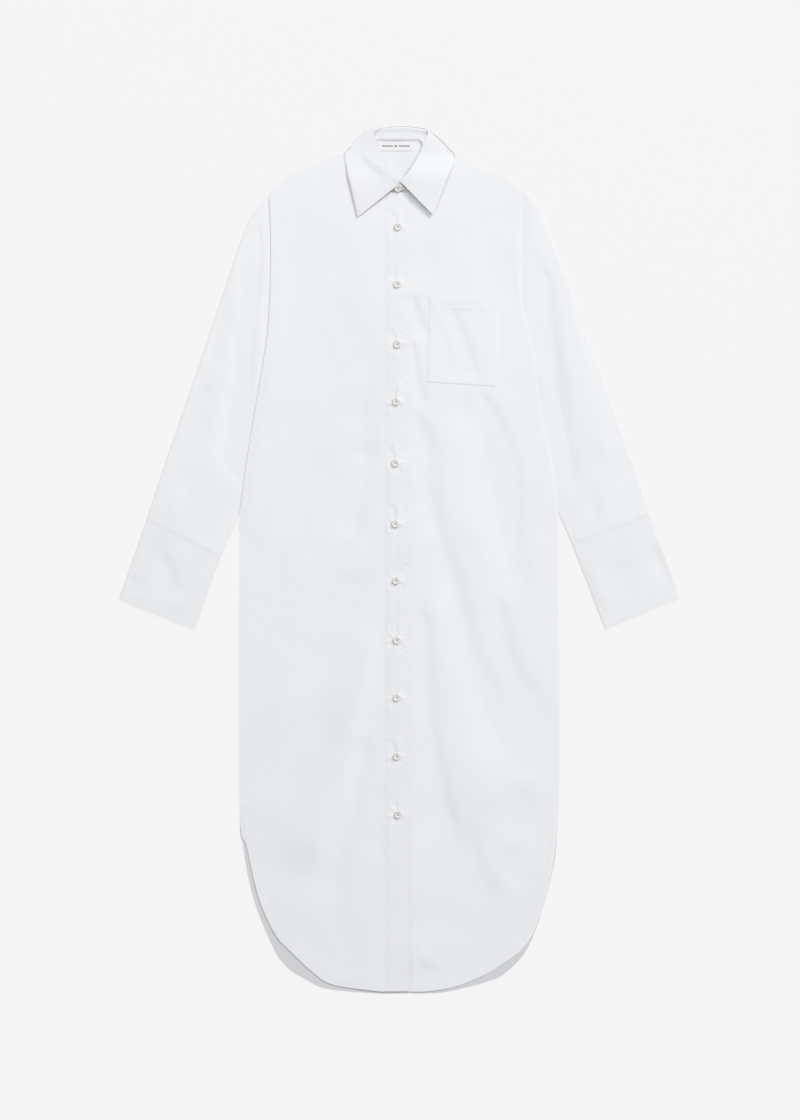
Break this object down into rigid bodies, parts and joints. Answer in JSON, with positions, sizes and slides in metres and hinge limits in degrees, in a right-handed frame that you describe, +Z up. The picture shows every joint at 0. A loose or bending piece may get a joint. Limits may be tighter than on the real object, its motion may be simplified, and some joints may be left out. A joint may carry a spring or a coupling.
{
  "type": "shirt dress",
  "caption": "Long white cotton poplin shirt dress laid flat, with a pointed collar, buttoned placket, chest pocket, deep cuffs and a rounded shirt-tail hem.",
  "frame": {"origin": "centre of the underside of the dress as it lies, on the floor", "axes": "+Y towards the collar, +X towards the wearer's left, +Z up from the floor through the front of the dress"},
  "size_m": [0.871, 1.3464, 0.0139],
  "materials": {
    "poplin": "plain-woven white cotton poplin, matt, slightly cool",
    "interlined_poplin": "the same poplin, interlined and top-stitched, matt",
    "label_tape": null,
    "button_resin": "warm cream resin, satin"
  },
  "bodies": {
    "root": {"back": "poplin", "front_right": "poplin", "front_left": "poplin", "placket": "poplin", "sleeve_right": "poplin", "sleeve_left": "poplin", "cuff_right": "interlined_poplin", "cuff_left": "interlined_poplin", "collar_stand": "interlined_poplin", "collar": "interlined_poplin", "pocket": "poplin", "neck_label": "label_tape", "button_01": "button_resin", "button_02": "button_resin", "button_03": "button_resin", "button_04": "button_resin", "button_05": "button_resin", "button_06": "button_resin", "button_07": "button_resin", "button_08": "button_resin", "button_09": "button_resin", "button_10": "button_resin", "button_11": "button_resin", "button_collar": "button_resin"}
  },
  "joints": []
}
